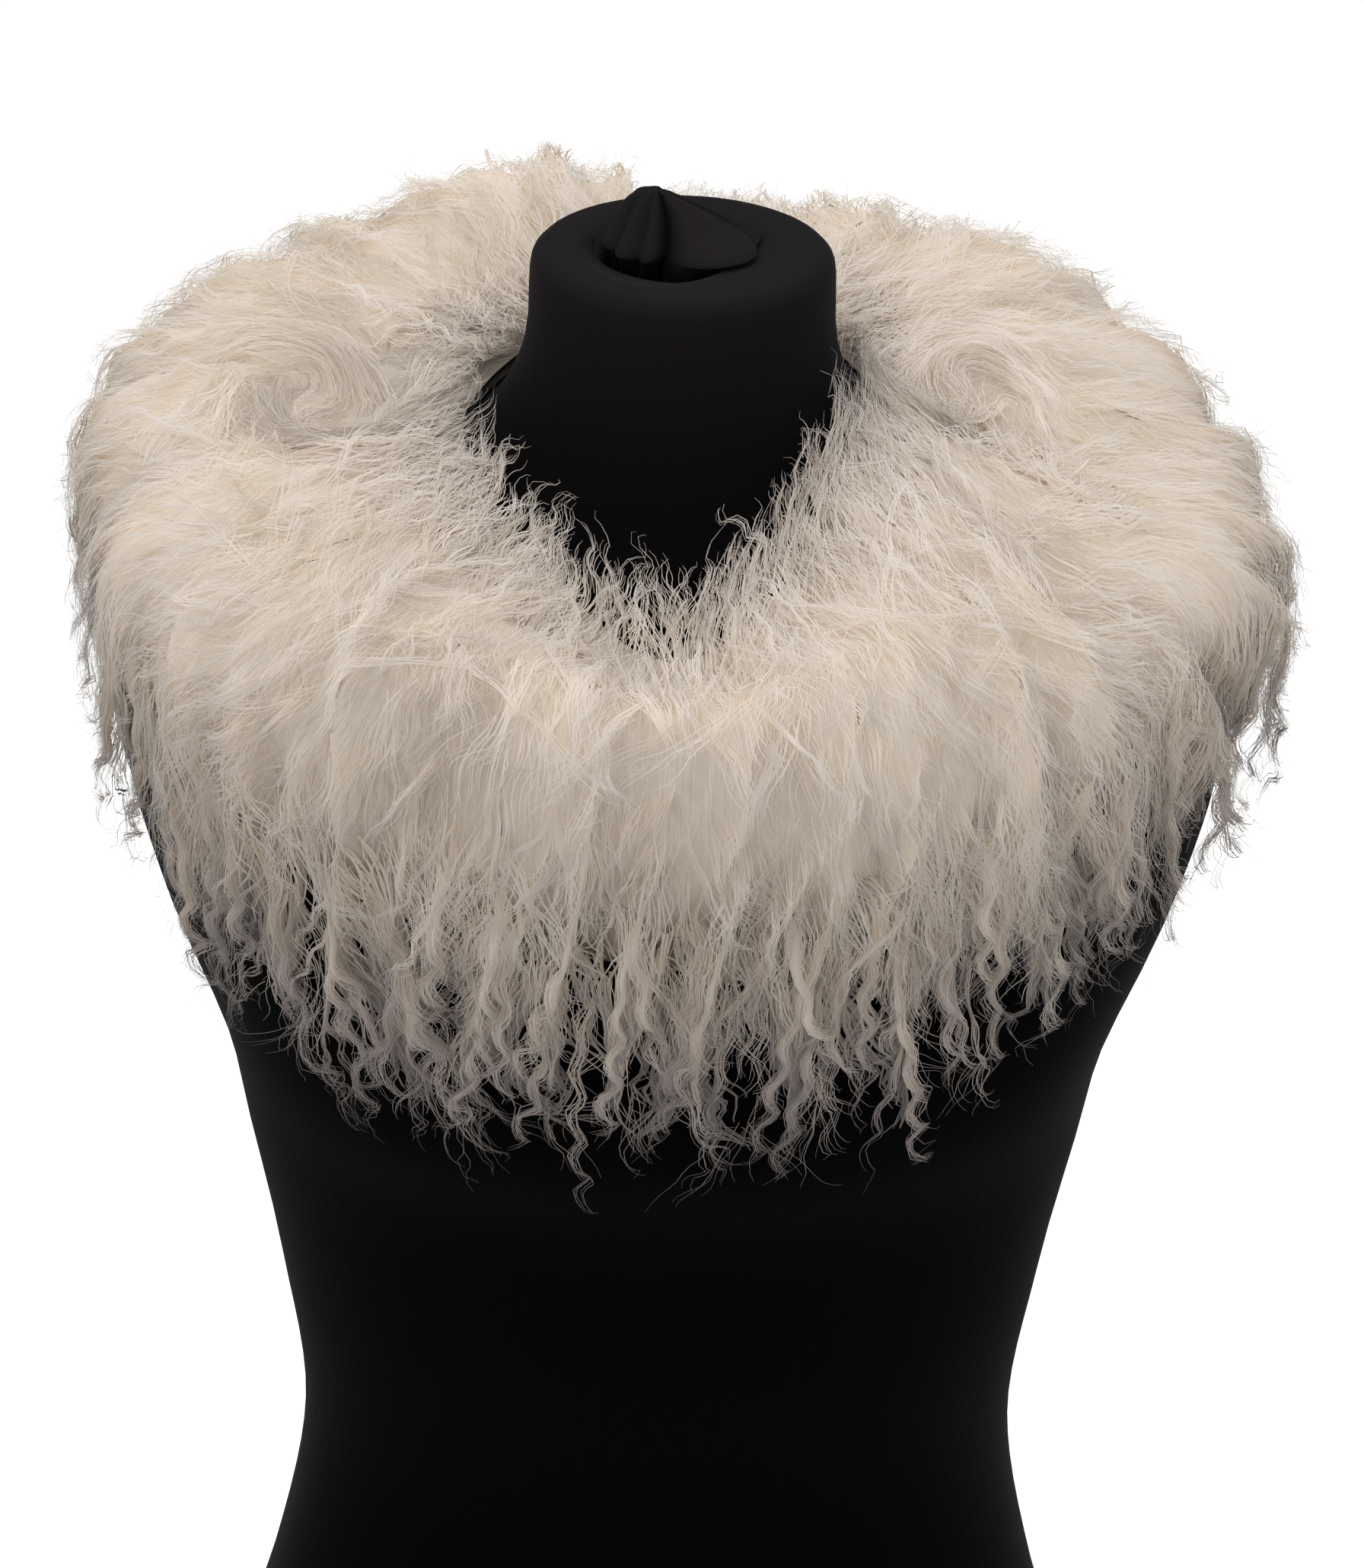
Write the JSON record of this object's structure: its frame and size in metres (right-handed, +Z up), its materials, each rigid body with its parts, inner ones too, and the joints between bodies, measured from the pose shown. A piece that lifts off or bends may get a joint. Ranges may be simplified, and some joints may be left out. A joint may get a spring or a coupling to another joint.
{
  "type": "long-haired fur collar wrap on a limbless dress form",
  "caption": "Curly long-haired fur collar laid in a closed ring round the shoulders of a limbless dress form, with free locks along its hem and up the neck.",
  "frame": {"origin": "middle of the dress form's flat base, on the surface it stands on", "axes": "+Z up, -Y towards the wearer's front, +X towards the wearer's left"},
  "size_m": [0.431, 0.3099, 0.711],
  "materials": {
    "fur": "long, soft, curly hair in clumped locks",
    "pelt": "matt suede skin side",
    "jersey": "fine black knit, stretched smooth"
  },
  "bodies": {
    "root": {"form_body": "jersey", "neck_gather": "jersey", "pelt_back": "pelt", "fur_back": "fur", "hem_locks_back": "fur", "neck_locks_back": "fur", "pelt_right": "pelt", "fur_right": "fur", "hem_locks_right": "fur", "neck_locks_right": "fur", "pelt_front": "pelt", "fur_front": "fur", "hem_locks_front": "fur", "neck_locks_front": "fur", "pelt_left": "pelt", "fur_left": "fur", "hem_locks_left": "fur", "neck_locks_left": "fur"}
  },
  "joints": []
}
